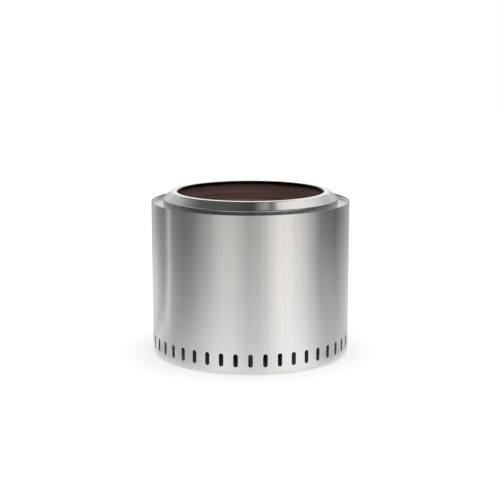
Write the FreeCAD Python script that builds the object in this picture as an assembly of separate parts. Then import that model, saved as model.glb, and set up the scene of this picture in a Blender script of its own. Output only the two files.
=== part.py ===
import FreeCAD, Part

import math
import os

from FreeCAD import Vector

# A double-walled smokeless fire pit of sheet steel, in millimetres.
# The origin is at the centre of the base, on the ground. +Z is up and -Y is the front.
# Air enters the slots round the base. Some of it feeds the fire from under the grate, and the
# rest rises hot between the two walls and leaves by the small holes under the flame ring.


# Driving dimensions
DRUM_DIAMETER = 484.0
RIM_HEIGHT = 374.0
AIR_GAP = 49.4
FLOOR_HEIGHT = 56.0
GRATE_HEIGHT = 42.0
RING_HEIGHT = 30.5

# Shared clearances
SEAT_GAP = 0.1
RUNNING_GAP = 0.1
REST_GAP = 0.3
OVERRUN = 5.0

# Every bend is given by the radius on its inner side

# Outer wall: a rolled sheet with a turned-in foot flange and a rim folded over the shelf
WALL_SHEET = 0.8
FOOT_FLANGE_WIDTH = 15.0
FOOT_BEND = 2.0
HEM_DROP = 4.6
SLOT_COUNT = 44
SLOT_WIDTH = 10.8
SLOT_LENGTH = 31.4
SLOT_SILL = 18.6

# Top shelf: the recessed deck that joins the two walls
SHELF_SHEET = 1.0
SHELF_RECESS = 7.0
SHELF_BEND = 1.5
SHELF_FLANGE_DROP = 10.0
LINER_FIT = 0.3

# Chamber wall: the inner sheet, hung from the shelf by its flange
LINER_SHEET = 0.8
LINER_FLANGE_WIDTH = 7.5
LINER_BEND = 1.4
JET_HOLE_COUNT = 44
JET_HOLE_DIAMETER = 8.0
JET_HOLE_DROP = 18.0
INLET_COUNT = 22
INLET_WIDTH = 9.0
INLET_LENGTH = 18.0
INLET_SILL = 4.0

# Chamber floor: a ring-shaped ledge that carries the ash pan and the grate
FLOOR_SHEET = 1.0
FLOOR_BEND = 1.5
FLOOR_HOLE_FLANGE = 10.0
FLOOR_RIM_HEIGHT = 11.0

# Bottom plate: a pressed tray that closes the base
PLATE_SHEET = 1.0
PLATE_RAISE = 9.0
PLATE_MARGIN = 12.0
PLATE_STEP_WIDTH = 6.0
PLATE_BEND = 2.4
BEAD_DIAMETER = 244.0
BEAD_WIDTH = 24.0
BEAD_HEIGHT = 4.0
BEAD_SLOPE_WIDTH = 6.0

# Support brackets: Z-shaped straps between the bottom plate and the chamber floor
BRACKET_COUNT = 4
BRACKET_SHEET = 2.0
BRACKET_BEND = 2.0
BRACKET_WIDTH = 30.0
BRACKET_FOOT = 26.0
BRACKET_INSET = 6.0
BRACKET_PAN_GAP = 3.0

# Flame ring: the lift-off crown
RING_SHEET = 1.2
LIP_OVERHANG = 12.5
LIP_DROP = 8.0
LIP_BEND = 2.0
LAND_WIDTH = 15.8
LAND_BEND = 5.4
RING_WIDTH = 35.3
SKIRT_HEIGHT = 12.5
SKIRT_BEND = 2.8

# Ring collar: centres the flame ring in the mouth of the chamber
COLLAR_SHEET = 0.8
COLLAR_BEND = 1.5
COLLAR_FLANGE = 8.0
COLLAR_REACH = 14.0
COLLAR_GAP = 0.7

# Fire grate
GRATE_SHEET = 2.0
GRATE_GAP = 8.5
GRATE_RIM_DROP = 11.0
GRATE_BEND = 3.0
GRATE_SLOT_WIDTH = 8.0
GRATE_SLOT_WEB = 10.0
GRATE_SLOT_MARGIN = 5.0
GRATE_SLOT_COUNTS = (12, 20, 28)

# Grate legs
LEG_COUNT = 4
LEG_SHEET = 2.0
LEG_BEND = 2.0
LEG_WIDTH = 20.0
LEG_TAB = 24.0
LEG_INSET = 8.0

# Ash pan
PAN_SHEET = 1.0
PAN_GAP = 4.0
PAN_DEPTH = 25.0
PAN_TAPER = 7.0
PAN_CORNER_BEND = 7.5
PAN_RIM_BEND = 1.5
PAN_RIM_OVERLAP = 6.0
PAN_LEG_GAP = 4.0

# Rivets, screws and nuts
RIVET_SHANK = 4.0
RIVET_HEAD = 8.0
RIVET_HEAD_HEIGHT = 2.0
RIVET_TAIL = 6.4
RIVET_TAIL_HEIGHT = 1.4
RIVET_EDGE = 1.5
HOLE_GAP = 0.1
SCREW_SHANK = 5.0
SCREW_HEAD = 9.5
SCREW_HEAD_HEIGHT = 2.6
SCREW_END = 1.2
NUT_ACROSS_FLATS = 8.0
NUT_HEIGHT = 4.0

# Lift handles: wire bails that fold flat, each between two riveted ears.
# The grate's handle is the larger one. The ash pan's has to stand up under the grate.
GRATE_WIRE = 5.0
GRATE_EAR_SPREAD = 92.0
GRATE_HANDLE_REACH = 60.0
GRATE_PIVOT_HEIGHT = 7.5
PAN_WIRE = 4.0
PAN_EAR_SPREAD = 62.0
PAN_HANDLE_REACH = 34.0
PAN_PIVOT_HEIGHT = 6.5
EAR_SHEET = 1.5
EAR_BEND = 1.2
EAR_WIDTH = 12.0
EAR_FOOT = 15.0
EAR_HEAD_MARGIN = 3.5
WIRE_STUB = 2.5
WIRE_EAR_GAP = 1.2
GRIP_BEND = 14.0

# Fixed angles, in degrees
FRONT = -90.0
QUARTER = 90.0
HALF_TURN = 180.0
FULL_TURN = 360.0
LEG_ANGLE = 45.0
HEX_SIDES = 6

# Radii worked out from the driving dimensions, from the outside inwards
drum_radius = DRUM_DIAMETER / 2
wall_inner_radius = drum_radius - WALL_SHEET
shelf_flange_radius = wall_inner_radius - SEAT_GAP
hem_outer_radius = shelf_flange_radius - SHELF_SHEET - SEAT_GAP
liner_outer_radius = wall_inner_radius - AIR_GAP
liner_inner_radius = liner_outer_radius - LINER_SHEET
shelf_hole_radius = liner_outer_radius + LINER_FIT
collar_radius = liner_inner_radius - COLLAR_GAP
floor_radius = liner_inner_radius - SEAT_GAP
bracket_radius = liner_inner_radius - BRACKET_INSET
opening_radius = liner_inner_radius - LIP_OVERHANG
land_radius = opening_radius + LAND_WIDTH
skirt_radius = opening_radius + RING_WIDTH
grate_radius = opening_radius - GRATE_GAP
leg_radius = grate_radius - LEG_INSET
pan_rim_radius = leg_radius - LEG_SHEET - PAN_LEG_GAP
floor_hole_radius = pan_rim_radius - PAN_RIM_OVERLAP
pan_wall_radius = floor_hole_radius - PAN_GAP
bracket_tab_radius = pan_rim_radius + BRACKET_PAN_GAP

# Heights above the ground
shelf_top = RIM_HEIGHT - SHELF_RECESS
ring_top = shelf_top + RING_HEIGHT
floor_top = FLOOR_HEIGHT
grate_top = floor_top + GRATE_HEIGHT
grate_underside = grate_top - GRATE_SHEET
foot_flange_top = WALL_SHEET
plate_underside = foot_flange_top + PLATE_RAISE
plate_top = plate_underside + PLATE_SHEET
pan_floor_top = floor_top - PAN_DEPTH
bracket_foot_top = plate_top + BRACKET_SHEET

# The seams of the rolled sheets are at the back, between two slots
slot_step = FULL_TURN / SLOT_COUNT
seam_angle = -FRONT + slot_step / 2


SMALLEST = Part.Precision.confusion()


def left_of(direction):
    """The unit vector to the left of a direction in the drawing plane."""
    return Vector(-direction.z, 0, direction.x)


def bent_line(corners, bends, offset):
    """Edges of a line through (across, up) corners with round bends, moved sideways by offset.

    A bend that the offset brings to a radius of nothing is left as a sharp corner.
    """
    points = [Vector(across, 0, up) for across, up in corners]
    ways = [(after - before).normalize() for before, after in zip(points, points[1:])]
    stops = [points[0] + left_of(ways[0]) * offset]
    arcs = []
    for corner, way_in, way_out, bend in zip(points[1:-1], ways, ways[1:], bends):
        turn = math.atan2(left_of(way_in).dot(way_out), way_in.dot(way_out))
        side = math.copysign(1, turn)
        setback = bend * math.tan(abs(turn) / 2)
        centre = corner - way_in * setback + left_of(way_in) * (side * bend)
        radius = bend - side * offset
        start = centre - left_of(way_in) * (side * radius)
        finish = centre - left_of(way_out) * (side * radius)
        outwards = (left_of(way_in) + left_of(way_out)).normalize() * -side
        middle = centre + outwards * radius
        arcs.append(Part.Arc(start, middle, finish).toShape() if radius > SMALLEST else None)
        stops += [start, finish]
    stops.append(points[-1] + left_of(ways[-1]) * offset)
    edges = []
    for start, finish, arc in zip(stops[::2], stops[1::2], arcs + [None]):
        if (finish - start).Length > SMALLEST:
            edges.append(Part.LineSegment(start, finish).toShape())
        if arc:
            edges.append(arc)
    return edges


def sheet_section(corners, bends, sheet):
    """The cut face of a bent sheet whose centre line runs through the corners."""
    centre_bends = [bend + sheet / 2 for bend in bends]
    left = bent_line(corners, centre_bends, sheet / 2)
    right = bent_line(corners, centre_bends, -sheet / 2)
    start_cap = Part.LineSegment(left[0].firstVertex(True).Point, right[0].firstVertex(True).Point)
    end_cap = Part.LineSegment(left[-1].lastVertex(True).Point, right[-1].lastVertex(True).Point)
    outline = left + right + [start_cap.toShape(), end_cap.toShape()]
    return Part.Face(Part.Wire(Part.__sortEdges__(outline)))


def spun(section):
    """A section turned once round the pit's axis, starting where the sheet's seam is."""
    section.rotate(Vector(), Vector(0, 0, 1), seam_angle)
    return section.revolve(Vector(), Vector(0, 0, 1), FULL_TURN)


def strap(corners, bends, sheet, width):
    """A bent strap: its section runs along X and Z, and its width along Y."""
    section = sheet_section(corners, bends, sheet)
    section.translate(Vector(0, -width / 2, 0))
    return section.extrude(Vector(0, width, 0))


def turned(shape, angle):
    """A copy of a shape turned about the pit's axis."""
    copy = shape.copy()
    copy.rotate(Vector(), Vector(0, 0, 1), angle)
    return copy


def ring_of(shape, count, first_angle=0.0):
    """Copies of a shape, evenly spaced about the pit's axis."""
    return [turned(shape, first_angle + FULL_TURN / count * number) for number in range(count)]


def without(shape, tools):
    """One solid with the tools cut out of it."""
    return shape.cut(Part.makeCompound(tools)).Solids[0]


def slot_cutter(width, length, depth):
    """A round-ended cutter along X from the origin, upright, with its centre on the X axis."""
    half_width = width / 2
    half_straight = (length - width) / 2
    low_left = Vector(0, -half_width, -half_straight)
    low_right = Vector(0, half_width, -half_straight)
    high_right = Vector(0, half_width, half_straight)
    high_left = Vector(0, -half_width, half_straight)
    outline = Part.Wire([
        Part.Arc(low_left, Vector(0, 0, -length / 2), low_right).toShape(),
        Part.LineSegment(low_right, high_right).toShape(),
        Part.Arc(high_right, Vector(0, 0, length / 2), high_left).toShape(),
        Part.LineSegment(high_left, low_left).toShape(),
    ])
    return Part.Face(outline).extrude(Vector(depth, 0, 0))


def radial_slots(count, width, length, centre_height, inner_radius, sheet, first_angle):
    """Cutters for a ring of upright slots through an upright wall."""
    cutter = slot_cutter(width, length, sheet + OVERRUN * 2)
    cutter.translate(Vector(inner_radius - OVERRUN, 0, centre_height))
    return ring_of(cutter, count, first_angle)


def upright_hole(diameter, across, bottom, depth):
    """A cutter for a hole along Z through something that stands on bottom and is depth thick."""
    start = Vector(across, 0, bottom - OVERRUN)
    return Part.makeCylinder(diameter / 2, depth + OVERRUN * 2, start)


def rivet_hole(across, bottom, depth):
    return upright_hole(RIVET_SHANK + HOLE_GAP * 2, across, bottom, depth)


def outer_wall():
    """Its foot flange turns in at the ground, and its rim is crimped down over the shelf's edge."""
    middle = drum_radius - WALL_SHEET / 2
    hem_middle = hem_outer_radius - WALL_SHEET / 2
    crown = RIM_HEIGHT - WALL_SHEET / 2
    corners = [
        (drum_radius - FOOT_FLANGE_WIDTH, WALL_SHEET / 2),
        (middle, WALL_SHEET / 2),
        (middle, crown),
        (hem_middle, crown),
        (hem_middle, RIM_HEIGHT - HEM_DROP),
    ]
    wall = spun(sheet_section(corners, [FOOT_BEND, 0, 0], WALL_SHEET))
    slots = radial_slots(
        SLOT_COUNT, SLOT_WIDTH, SLOT_LENGTH, SLOT_SILL + SLOT_LENGTH / 2,
        wall_inner_radius, WALL_SHEET, FRONT,
    )
    return without(wall, slots)


def top_shelf():
    """Its outer edge turns up inside the folded rim, and its inner edge turns down round the liner."""
    deck = shelf_top - SHELF_SHEET / 2
    inner = shelf_hole_radius + SHELF_SHEET / 2
    outer = shelf_flange_radius - SHELF_SHEET / 2
    corners = [
        (inner, shelf_top - SHELF_FLANGE_DROP),
        (inner, deck),
        (outer, deck),
        (outer, RIM_HEIGHT - WALL_SHEET - SEAT_GAP),
    ]
    return spun(sheet_section(corners, [SHELF_BEND, SHELF_BEND], SHELF_SHEET))


def chamber_wall():
    """It hangs from the shelf. Jet holes run round its top and air inlets round its foot."""
    middle = liner_outer_radius - LINER_SHEET / 2
    flange = shelf_top + LINER_SHEET / 2
    corners = [
        (liner_outer_radius + LINER_FLANGE_WIDTH, flange),
        (middle, flange),
        (middle, floor_top - FLOOR_SHEET),
    ]
    wall = spun(sheet_section(corners, [LINER_BEND], LINER_SHEET))
    jet_height = shelf_top - COLLAR_REACH - JET_HOLE_DROP
    jet = Part.makeCylinder(
        JET_HOLE_DIAMETER / 2, LINER_SHEET + OVERRUN * 2,
        Vector(liner_inner_radius - OVERRUN, 0, jet_height), Vector(1, 0, 0),
    )
    inlet_bottom = floor_top + FLOOR_RIM_HEIGHT + INLET_SILL
    inlets = radial_slots(
        INLET_COUNT, INLET_WIDTH, INLET_LENGTH, inlet_bottom + INLET_LENGTH / 2,
        liner_inner_radius, LINER_SHEET, FRONT,
    )
    return without(wall, ring_of(jet, JET_HOLE_COUNT, FRONT) + inlets)


def tab_rivet_places(tab_end, upright, sheet, bend):
    """Distances from the pit's axis of the two rivets in a strap's tab."""
    edge = RIVET_HEAD / 2 + RIVET_EDGE
    return [tab_end + edge, upright - sheet - bend - edge + RIVET_EDGE]


def bracket_rivet_places():
    return tab_rivet_places(bracket_tab_radius, bracket_radius, BRACKET_SHEET, BRACKET_BEND)


def bracket_screw_place():
    """Distance of a bracket's screw from the pit's axis."""
    return bracket_radius + BRACKET_FOOT / 2


def chamber_floor():
    """Its inner edge turns down round the ash pan, and its outer edge turns up inside the liner."""
    deck = floor_top - FLOOR_SHEET / 2
    inner = floor_hole_radius + FLOOR_SHEET / 2
    outer = floor_radius - FLOOR_SHEET / 2
    corners = [
        (inner, floor_top - FLOOR_HOLE_FLANGE),
        (inner, deck),
        (outer, deck),
        (outer, floor_top + FLOOR_RIM_HEIGHT),
    ]
    floor = spun(sheet_section(corners, [FLOOR_BEND, FLOOR_BEND], FLOOR_SHEET))
    holes = []
    for place in bracket_rivet_places():
        hole = rivet_hole(place, floor_top - FLOOR_SHEET, FLOOR_SHEET)
        holes += ring_of(hole, BRACKET_COUNT)
    return without(floor, holes)


def bottom_plate():
    """A margin that lies on the wall's foot flange, a raised floor, and a ring-shaped bead."""
    raised = plate_underside + PLATE_SHEET / 2
    margin = foot_flange_top + PLATE_SHEET / 2
    edge = wall_inner_radius - FOOT_BEND - SEAT_GAP
    bead_outer = BEAD_DIAMETER / 2
    bead_inner = bead_outer - BEAD_WIDTH
    corners = [
        (0, raised),
        (bead_inner, raised),
        (bead_inner + BEAD_SLOPE_WIDTH, raised + BEAD_HEIGHT),
        (bead_outer - BEAD_SLOPE_WIDTH, raised + BEAD_HEIGHT),
        (bead_outer, raised),
        (edge - PLATE_MARGIN - PLATE_STEP_WIDTH, raised),
        (edge - PLATE_MARGIN, margin),
        (edge, margin),
    ]
    plate = spun(sheet_section(corners, [PLATE_BEND] * (len(corners) - 2), PLATE_SHEET))
    hole = upright_hole(
        SCREW_SHANK + HOLE_GAP * 2, bracket_screw_place(), plate_underside, PLATE_SHEET,
    )
    return without(plate, ring_of(hole, BRACKET_COUNT))


def support_bracket():
    """One bracket on the +X side: its tab points inwards and its foot outwards."""
    tab_bottom = floor_top - FLOOR_SHEET - BRACKET_SHEET
    tab = tab_bottom + BRACKET_SHEET / 2
    upright = bracket_radius - BRACKET_SHEET / 2
    foot = plate_top + BRACKET_SHEET / 2
    corners = [
        (bracket_tab_radius, tab),
        (upright, tab),
        (upright, foot),
        (bracket_radius + BRACKET_FOOT, foot),
    ]
    bracket = strap(corners, [BRACKET_BEND, BRACKET_BEND], BRACKET_SHEET, BRACKET_WIDTH)
    holes = [
        rivet_hole(place, tab_bottom, BRACKET_SHEET) for place in bracket_rivet_places()
    ]
    holes.append(
        upright_hole(
            SCREW_SHANK + HOLE_GAP * 2, bracket_screw_place(), plate_top, BRACKET_SHEET,
        )
    )
    return without(bracket, holes)


def rivet(grip):
    """A domed rivet on the Z axis, with its head seated on the plane of the origin."""
    rim = Vector(RIVET_HEAD / 2, 0, 0)
    crown = Vector(0, 0, RIVET_HEAD_HEIGHT)
    dome_radius = (rim.x ** 2 + crown.z ** 2) / (crown.z * 2)
    half_angle = math.asin(rim.x / dome_radius) / 2
    shoulder = Vector(
        dome_radius * math.sin(half_angle), 0,
        crown.z - dome_radius * (1 - math.cos(half_angle)),
    )
    tail_end = -grip - RIVET_TAIL_HEIGHT
    turns = [
        rim,
        Vector(RIVET_SHANK / 2, 0, 0),
        Vector(RIVET_SHANK / 2, 0, -grip),
        Vector(RIVET_TAIL / 2, 0, -grip),
        Vector(RIVET_TAIL / 2, 0, tail_end),
        Vector(0, 0, tail_end),
        crown,
    ]
    edges = [Part.LineSegment(start, end).toShape() for start, end in zip(turns, turns[1:])]
    edges.append(Part.Arc(crown, shoulder, rim).toShape())
    section = Part.Face(Part.Wire(edges))
    return section.revolve(Vector(), Vector(0, 0, 1), FULL_TURN)


def placed(shape, across, height):
    """A copy of a shape moved out along X and up."""
    copy = shape.copy()
    copy.translate(Vector(across, 0, height))
    return copy


def floor_rivets():
    one = rivet(FLOOR_SHEET + BRACKET_SHEET)
    rivets = []
    for place in bracket_rivet_places():
        rivets += ring_of(placed(one, place, floor_top), BRACKET_COUNT)
    return Part.makeCompound(rivets)


def base_screws():
    """One pan-headed screw up through the bottom plate into each bracket's nut."""
    reach = PLATE_SHEET + BRACKET_SHEET + NUT_HEIGHT + SCREW_END
    head = Part.makeCylinder(
        SCREW_HEAD / 2, SCREW_HEAD_HEIGHT,
        Vector(0, 0, plate_underside - SCREW_HEAD_HEIGHT),
    )
    outer_edge = [edge for edge in head.Edges if edge.BoundBox.ZMax < plate_underside - SCREW_END]
    head = head.makeFillet(SCREW_HEAD_HEIGHT / 2, outer_edge)
    shank = Part.makeCylinder(SCREW_SHANK / 2, reach, Vector(0, 0, plate_underside))
    screw = head.fuse(shank)
    screw.translate(Vector(bracket_screw_place(), 0, 0))
    return Part.makeCompound([one.Solids[0] for one in ring_of(screw, BRACKET_COUNT)])


def base_nuts():
    """One hexagon nut on each bracket's foot."""
    corner_radius = NUT_ACROSS_FLATS / 2 / math.cos(math.pi / HEX_SIDES)
    corner = Vector(corner_radius, 0, 0)
    corners = [turned(Part.Vertex(corner), FULL_TURN / HEX_SIDES * number).Point
               for number in range(HEX_SIDES)]
    nut = Part.Face(Part.makePolygon(corners + corners[:1])).extrude(Vector(0, 0, NUT_HEIGHT))
    nut = without(nut, [upright_hole(SCREW_SHANK + HOLE_GAP * 2, 0, 0, NUT_HEIGHT)])
    nut = placed(nut, bracket_screw_place(), bracket_foot_top)
    return Part.makeCompound(ring_of(nut, BRACKET_COUNT))


def flame_ring():
    """Lip, flat land, sloping shoulder and upright skirt, from the opening outwards."""
    lip = opening_radius + RING_SHEET / 2
    land = ring_top - RING_SHEET / 2
    skirt = skirt_radius - RING_SHEET / 2
    corners = [
        (lip, ring_top - LIP_DROP),
        (lip, land),
        (land_radius, land),
        (skirt, shelf_top + SKIRT_HEIGHT),
        (skirt, shelf_top),
    ]
    return spun(sheet_section(corners, [LIP_BEND, LAND_BEND, SKIRT_BEND], RING_SHEET))


def ring_collar():
    """Its flange is welded under the land, and its skirt hangs inside the mouth of the chamber."""
    flange = ring_top - RING_SHEET - COLLAR_SHEET / 2
    skirt = collar_radius - COLLAR_SHEET / 2
    corners = [
        (collar_radius - COLLAR_FLANGE, flange),
        (skirt, flange),
        (skirt, shelf_top - COLLAR_REACH),
    ]
    return spun(sheet_section(corners, [COLLAR_BEND], COLLAR_SHEET))


def leg_rivet_places():
    return tab_rivet_places(leg_radius - LEG_TAB, leg_radius, LEG_SHEET, LEG_BEND)


def grate_slots():
    """Rows of slots that point at the axis, between the handle's ears and the grate's rim."""
    rows = len(GRATE_SLOT_COUNTS)
    first = GRATE_EAR_SPREAD / 2 + EAR_FOOT + GRATE_SLOT_MARGIN
    last = grate_radius - GRATE_SHEET - GRATE_BEND - GRATE_SLOT_MARGIN
    length = (last - first - GRATE_SLOT_WEB * (rows - 1)) / rows
    cutter = slot_cutter(GRATE_SLOT_WIDTH, length, GRATE_SHEET + OVERRUN * 2)
    cutter.rotate(Vector(), Vector(0, 1, 0), QUARTER)
    cutters = []
    for row, count in enumerate(GRATE_SLOT_COUNTS):
        place = first + length / 2 + (length + GRATE_SLOT_WEB) * row
        cutters += ring_of(placed(cutter, place, grate_top + OVERRUN), count)
    return cutters


def fire_grate():
    """A slotted disc with a turned-down rim."""
    middle = grate_radius - GRATE_SHEET / 2
    deck = grate_top - GRATE_SHEET / 2
    corners = [(0, deck), (middle, deck), (middle, grate_top - GRATE_RIM_DROP)]
    plate = spun(sheet_section(corners, [GRATE_BEND], GRATE_SHEET))
    holes = [
        rivet_hole(place, grate_underside, GRATE_SHEET)
        for place in ear_rivet_places(GRATE_EAR_SPREAD)
    ]
    for place in leg_rivet_places():
        hole = rivet_hole(place, grate_underside, GRATE_SHEET)
        holes += ring_of(hole, LEG_COUNT, LEG_ANGLE)
    return without(plate, grate_slots() + holes)


def grate_leg():
    """One leg on the +X side: its tab is riveted under the grate and its foot stands on the floor."""
    tab_bottom = grate_underside - LEG_SHEET
    tab = tab_bottom + LEG_SHEET / 2
    upright = leg_radius - LEG_SHEET / 2
    foot = floor_top + LEG_SHEET / 2
    corners = [
        (leg_radius - LEG_TAB, tab),
        (upright, tab),
        (upright, foot),
        (leg_radius + LEG_INSET, foot),
    ]
    leg = strap(corners, [LEG_BEND, LEG_BEND], LEG_SHEET, LEG_WIDTH)
    holes = [rivet_hole(place, tab_bottom, LEG_SHEET) for place in leg_rivet_places()]
    return without(leg, holes)


def leg_rivets():
    one = rivet(GRATE_SHEET + LEG_SHEET)
    rivets = []
    for place in leg_rivet_places():
        rivets += ring_of(placed(one, place, grate_top), LEG_COUNT, LEG_ANGLE)
    return Part.makeCompound(rivets)


def ash_pan():
    """A shallow dish whose rim rests on the edge of the chamber floor."""
    pan_underside = pan_floor_top - PAN_SHEET
    floor = pan_underside + PAN_SHEET / 2
    rim = floor_top + PAN_SHEET / 2
    corners = [
        (0, floor),
        (pan_wall_radius - PAN_TAPER, floor),
        (pan_wall_radius, rim),
        (pan_rim_radius, rim),
    ]
    pan = spun(sheet_section(corners, [PAN_CORNER_BEND, PAN_RIM_BEND], PAN_SHEET))
    holes = [
        rivet_hole(place, pan_underside, PAN_SHEET) for place in ear_rivet_places(PAN_EAR_SPREAD)
    ]
    return without(pan, holes)


def ear_rivet_places(spread):
    """Places along X of the rivets that hold a handle's two ears."""
    place = spread / 2 + EAR_FOOT - RIVET_HEAD / 2 - RIVET_EDGE
    return [-place, place]


def handle_ear(spread, pivot_height, wire, deck):
    """The ear on the +X side: a foot on the deck and an upright with the pivot hole."""
    upright = spread / 2
    top = deck + pivot_height + wire / 2 + EAR_HEAD_MARGIN
    corners = [
        (upright + EAR_FOOT, deck + EAR_SHEET / 2),
        (upright, deck + EAR_SHEET / 2),
        (upright, top),
    ]
    ear = strap(corners, [EAR_BEND], EAR_SHEET, EAR_WIDTH)
    round_corners = [
        edge for edge in ear.Edges
        if edge.BoundBox.ZMin > top - EAR_HEAD_MARGIN and edge.BoundBox.YLength < SEAT_GAP
    ]
    ear = ear.makeFillet(EAR_WIDTH / 2 - SEAT_GAP, round_corners)
    pivot = Part.makeCylinder(
        wire / 2 + RUNNING_GAP, EAR_SHEET + OVERRUN * 2,
        Vector(upright - OVERRUN, 0, deck + pivot_height), Vector(1, 0, 0),
    )
    hole = rivet_hole(ear_rivet_places(spread)[1], deck, EAR_SHEET)
    return without(ear, [pivot, hole])


def ear_rivets(spread, deck, sheet):
    one = rivet(EAR_SHEET + sheet)
    return Part.makeCompound(
        [placed(one, place, deck + EAR_SHEET) for place in ear_rivet_places(spread)]
    )


def handle(spread, reach, pivot_height, wire, deck):
    """A wire bail whose turned-out ends sit in the ears. At rest its grip lies on the deck."""
    end_bend = wire
    side = spread / 2 - EAR_SHEET / 2 - WIRE_EAR_GAP - end_bend
    end = spread / 2 + EAR_SHEET / 2 + WIRE_STUB
    corners = [(end, 0), (side, 0), (side, -reach), (-side, -reach), (-side, 0), (-end, 0)]
    path = Part.Wire(bent_line(corners, [end_bend, GRIP_BEND, GRIP_BEND, end_bend], 0))
    circle = Part.Wire(Part.makeCircle(wire / 2, Vector(end, 0, 0), Vector(1, 0, 0)))
    bail = path.makePipeShell([circle], True, True)
    drop = pivot_height - wire / 2 - REST_GAP
    tilt = math.degrees(math.asin(drop / reach))
    bail.rotate(Vector(), Vector(1, 0, 0), -QUARTER + tilt)
    bail.translate(Vector(0, 0, deck + pivot_height))
    return bail


def build():
    parts = {
        "outer_wall": outer_wall(),
        "top_shelf": top_shelf(),
        "chamber_wall": chamber_wall(),
        "chamber_floor": chamber_floor(),
        "bottom_plate": bottom_plate(),
        "floor_rivets": floor_rivets(),
        "base_screws": base_screws(),
        "base_nuts": base_nuts(),
        "flame_ring": flame_ring(),
        "ring_collar": ring_collar(),
        "fire_grate": fire_grate(),
        "grate_leg_rivets": leg_rivets(),
        "grate_ear_rivets": ear_rivets(GRATE_EAR_SPREAD, grate_top, GRATE_SHEET),
        "ash_pan": ash_pan(),
        "pan_ear_rivets": ear_rivets(PAN_EAR_SPREAD, pan_floor_top, PAN_SHEET),
    }
    grate_handle = (GRATE_PIVOT_HEIGHT, GRATE_WIRE, grate_top)
    pan_handle = (PAN_PIVOT_HEIGHT, PAN_WIRE, pan_floor_top)
    parts["grate_handle"] = handle(GRATE_EAR_SPREAD, GRATE_HANDLE_REACH, *grate_handle)
    parts["pan_handle"] = handle(PAN_EAR_SPREAD, PAN_HANDLE_REACH, *pan_handle)
    grate_ear = handle_ear(GRATE_EAR_SPREAD, *grate_handle)
    pan_ear = handle_ear(PAN_EAR_SPREAD, *pan_handle)
    for name, angle in (("right", 0.0), ("left", HALF_TURN)):
        parts["grate_ear_" + name] = turned(grate_ear, angle)
        parts["pan_ear_" + name] = turned(pan_ear, angle)
    for number, bracket in enumerate(ring_of(support_bracket(), BRACKET_COUNT), 1):
        parts[f"support_bracket_{number}"] = bracket
    for number, leg in enumerate(ring_of(grate_leg(), LEG_COUNT, LEG_ANGLE), 1):
        parts[f"grate_leg_{number}"] = leg
    return parts


os.makedirs("parts", exist_ok=True)
for name, shape in build().items():
    shape.exportStep(os.path.join("parts", name + ".step"))
    solids = shape.Solids
    print(name, len(solids), "solids, valid:", all(solid.isValid() for solid in solids),
          "volume:", round(sum(solid.Volume for solid in solids)))
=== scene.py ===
# %% [markdown]
# # A smokeless fire pit in brushed steel
#
# The pit is made of thin sheet steel: a drum with a row of air slots, a recessed shelf, a spun
# flame ring that lifts off, and a chamber inside with a grate and an ash pan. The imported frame
# gives the place and size of every piece, and the real moving bodies. This lesson models the
# sheets as a metalworker makes them, by punching, rolling and spinning, and then gives each one
# its finish.

# %% Load the frame
import math

import bmesh
import bpy
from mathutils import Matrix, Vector


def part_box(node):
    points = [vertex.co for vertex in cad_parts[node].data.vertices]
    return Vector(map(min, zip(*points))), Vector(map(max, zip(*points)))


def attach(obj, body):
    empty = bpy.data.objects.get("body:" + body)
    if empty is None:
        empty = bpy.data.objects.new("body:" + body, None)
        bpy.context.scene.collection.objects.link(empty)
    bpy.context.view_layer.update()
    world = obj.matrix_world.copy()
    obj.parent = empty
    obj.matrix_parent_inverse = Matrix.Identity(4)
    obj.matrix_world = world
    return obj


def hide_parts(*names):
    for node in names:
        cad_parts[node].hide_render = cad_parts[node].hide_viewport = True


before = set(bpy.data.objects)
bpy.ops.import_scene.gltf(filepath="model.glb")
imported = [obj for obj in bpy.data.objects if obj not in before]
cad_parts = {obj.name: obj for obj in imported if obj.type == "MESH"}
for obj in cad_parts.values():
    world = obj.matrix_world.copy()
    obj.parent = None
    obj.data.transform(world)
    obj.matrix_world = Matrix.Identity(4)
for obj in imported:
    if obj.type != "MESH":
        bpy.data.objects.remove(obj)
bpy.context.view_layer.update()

# %% [markdown]
# ## Units and a few hand tools
#
# Blender works in metres, and sheet metal is thought of in millimetres, so lengths are written
# as a number of `MM`. A new piece starts as an empty mesh in edit mode, at the origin. Whatever
# is added in edit mode then has its place in its mesh, and the object itself never moves.
#
# An operator acts on all that is selected. `pick` selects the points that pass a test, and
# nothing else, in the way that a box select does by hand.

# %% Units, a blank and a way to select
MM = 0.001
TINY = 0.01 * MM
FULL_TURN = 2 * math.pi
QUARTER_TURN = math.pi / 2
AXIS = (0, 0, 1)
CENTRE = (0, 0, 0)


def blank(name):
    """A new piece with an empty mesh, in edit mode."""
    bpy.ops.object.select_all(action="DESELECT")
    bpy.ops.mesh.primitive_plane_add(size=MM)
    piece = bpy.context.object
    piece.name = piece.data.name = name
    bpy.ops.object.mode_set(mode="EDIT")
    bpy.ops.mesh.delete(type="VERT")
    return piece


def pick(piece, wanted):
    """Selects the points of the piece being edited whose place passes a test, and no others."""
    bpy.ops.mesh.select_mode(type="VERT")
    bpy.ops.mesh.select_all(action="DESELECT")
    mesh = bmesh.from_edit_mesh(piece.data)
    for vertex in mesh.verts:
        vertex.select_set(wanted(vertex.co))
    mesh.select_flush(True)
    bmesh.update_edit_mesh(piece.data)


# %% [markdown]
# Every piece is closed in the same way when its faces are drawn: doubled points are merged, and
# the faces are turned outwards. Modifiers are applied at once, so that the next one starts from
# their result.

# %% Weld and apply


def weld(piece):
    """Merges points that lie on each other and turns all faces outwards."""
    bpy.ops.mesh.select_all(action="SELECT")
    bpy.ops.mesh.remove_doubles(threshold=TINY)
    bpy.ops.mesh.normals_make_consistent(inside=False)
    bpy.ops.object.mode_set(mode="OBJECT")


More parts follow.
